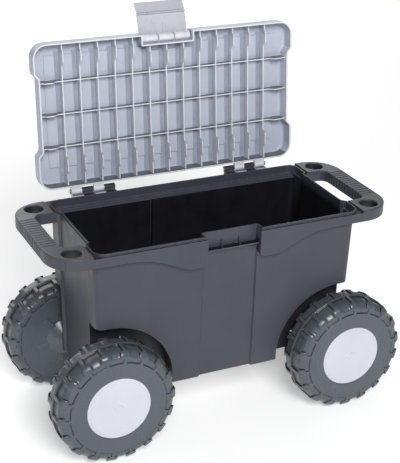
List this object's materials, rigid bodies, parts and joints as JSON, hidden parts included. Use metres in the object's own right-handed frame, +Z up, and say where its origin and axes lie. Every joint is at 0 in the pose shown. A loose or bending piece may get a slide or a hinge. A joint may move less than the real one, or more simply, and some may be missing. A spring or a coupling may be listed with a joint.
{
  "type": "rolling workshop seat with tool tub",
  "caption": "Low rolling workshop seat: tool tub with end handles and corner tool holes, hinged ribbed lid seat with snap latch, treaded wheels on through axles.",
  "frame": {"origin": "on the floor, under the middle of the four tool holes", "axes": "+X along the tub to its right end, +Y to the hinge side, +Z up"},
  "size_m": [0.594, 0.3417, 0.614],
  "materials": {
    "tub_plastic": "fine satin texture, anthracite",
    "lid_plastic": "satin, light blue-grey",
    "latch_plastic": "pale grey, slightly translucent",
    "wheel_plastic": "satin, slate",
    "cap_plastic": "satin, pale grey",
    "axle_steel": "drawn rod",
    "pin_steel": "zinc plated"
  },
  "bodies": {
    "chassis": {"tub": "tub_plastic", "hinge_pin_left": "pin_steel", "hinge_pin_right": "pin_steel", "axle_left": "axle_steel", "axle_right": "axle_steel", "washer_front_left": "pin_steel", "washer_front_right": "pin_steel", "washer_rear_left": "pin_steel", "washer_rear_right": "pin_steel", "retainer_front_left": "pin_steel", "retainer_front_right": "pin_steel", "retainer_rear_left": "pin_steel", "retainer_rear_right": "pin_steel"},
    "lid_body": {"lid": "lid_plastic", "latch_pin": "pin_steel"},
    "latch_body": {"latch": "latch_plastic"},
    "front_left_wheel": {"wheel_front_left": "wheel_plastic", "hubcap_front_left": "cap_plastic"},
    "front_right_wheel": {"wheel_front_right": "wheel_plastic", "hubcap_front_right": "cap_plastic"},
    "rear_left_wheel": {"wheel_rear_left": "wheel_plastic", "hubcap_rear_left": "cap_plastic"},
    "rear_right_wheel": {"wheel_rear_right": "wheel_plastic", "hubcap_rear_right": "cap_plastic"}
  },
  "joints": [
    {"name": "lid_hinge", "type": "hinge", "parent": "chassis", "child": "lid_body", "pos_m": [0, 0.1295, 0.3333], "axis": [1, 0, 0], "range_deg": [0, 95.5]},
    {"name": "latch_hinge", "type": "hinge", "parent": "lid_body", "child": "latch_body", "pos_m": [0, 0.16068, 0.56317], "axis": [1, 0, 0], "range_deg": [0, 105]},
    {"name": "front_left_spin", "type": "hinge", "parent": "chassis", "child": "front_left_wheel", "pos_m": [-0.201, -0.117, 0.096], "axis": [0, 1, 0], "continuous": true},
    {"name": "front_right_spin", "type": "hinge", "parent": "chassis", "child": "front_right_wheel", "pos_m": [0.201, -0.117, 0.096], "axis": [0, 1, 0], "continuous": true},
    {"name": "rear_left_spin", "type": "hinge", "parent": "chassis", "child": "rear_left_wheel", "pos_m": [-0.201, 0.117, 0.096], "axis": [0, 1, 0], "continuous": true},
    {"name": "rear_right_spin", "type": "hinge", "parent": "chassis", "child": "rear_right_wheel", "pos_m": [0.201, 0.117, 0.096], "axis": [0, 1, 0], "continuous": true}
  ]
}
